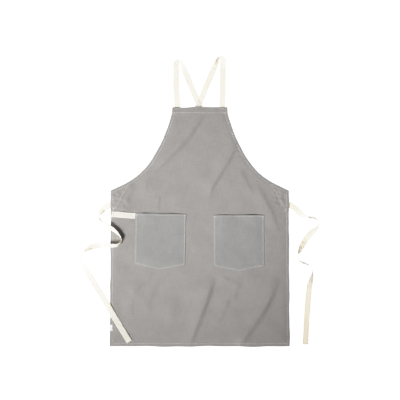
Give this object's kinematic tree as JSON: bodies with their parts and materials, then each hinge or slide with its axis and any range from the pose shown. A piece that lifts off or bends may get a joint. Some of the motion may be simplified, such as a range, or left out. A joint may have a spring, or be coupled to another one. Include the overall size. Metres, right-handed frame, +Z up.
{
  "type": "artist smock apron",
  "caption": "Cross-back cotton canvas work apron, laid flat, with patch pockets, a towel loop, webbing shoulder straps and waist ties.",
  "frame": {"origin": "on the table, under the middle of the apron and its shoulder straps, without the waist ties", "axes": "+X to the right as the apron lies with its front up, +Y from the hem towards the bib, +Z up off the table"},
  "size_m": [0.8092, 0.9874, 0.0259],
  "materials": {
    "apron_cloth": "matt warm-grey cotton canvas",
    "pocket_cloth": "matt cool-grey cotton canvas",
    "webbing": "natural cream cotton webbing",
    "thread": "off-white sewing thread",
    "label": "blank white woven tape"
  },
  "bodies": {
    "skirt": {"skirt_panel": "apron_cloth", "bottom_hem_stitching": "thread", "left_armhole_stitching_skirt": "thread", "left_side_stitching": "thread", "left_corner_patch": "apron_cloth", "left_corner_patch_stitching": "thread", "left_corner_bartack": "thread", "left_pocket": "pocket_cloth", "left_pocket_stitching": "thread", "left_pocket_mouth_stitching": "thread", "left_pocket_bartack_inner": "thread", "left_pocket_bartack_outer": "thread", "left_back_strap_skirt": "webbing", "left_tie_sewn_end": "webbing", "right_armhole_stitching_skirt": "thread", "right_side_stitching": "thread", "right_corner_patch": "apron_cloth", "right_corner_patch_stitching": "thread", "right_corner_bartack": "thread", "right_pocket": "pocket_cloth", "right_pocket_stitching": "thread", "right_pocket_mouth_stitching": "thread", "right_pocket_bartack_inner": "thread", "right_pocket_bartack_outer": "thread", "right_back_strap_skirt": "webbing", "right_tie_sewn_end": "webbing", "towel_loop": "webbing", "towel_loop_bartack_side": "thread", "towel_loop_bartack_pocket": "thread", "side_label": "label"},
    "bib": {"bib_panel": "apron_cloth", "top_hem_stitching": "thread", "left_armhole_stitching_bib": "thread", "left_strap_sewn_end": "webbing", "left_back_strap_bib": "webbing", "left_strap_bartack": "thread", "right_armhole_stitching_bib": "thread", "right_strap_sewn_end": "webbing", "right_back_strap_bib": "webbing", "right_strap_bartack": "thread"},
    "shoulder_straps": {"left_shoulder_strap": "webbing", "right_shoulder_strap": "webbing"},
    "left_tie": {"left_waist_tie": "webbing"},
    "right_tie": {"right_waist_tie": "webbing"}
  },
  "joints": [
    {"name": "bib_fold", "type": "hinge", "parent": "skirt", "child": "bib", "pos_m": [0, 0.09253, 0.014], "axis": [1, 0, 0], "range_deg": [0, 130]},
    {"name": "strap_fold", "type": "hinge", "parent": "bib", "child": "shoulder_straps", "pos_m": [0, 0.32953, 0.009], "axis": [1, 0, 0], "range_deg": [0, 165]},
    {"name": "left_tie_swing", "type": "hinge", "parent": "skirt", "child": "left_tie", "pos_m": [-0.30432, -0.01147, 0.0015], "axis": [0, 0, -1], "range_deg": [0, 100]},
    {"name": "right_tie_swing", "type": "hinge", "parent": "skirt", "child": "right_tie", "pos_m": [0.30432, -0.01147, 0.0015], "axis": [0, 0, 1], "range_deg": [0, 100]}
  ]
}
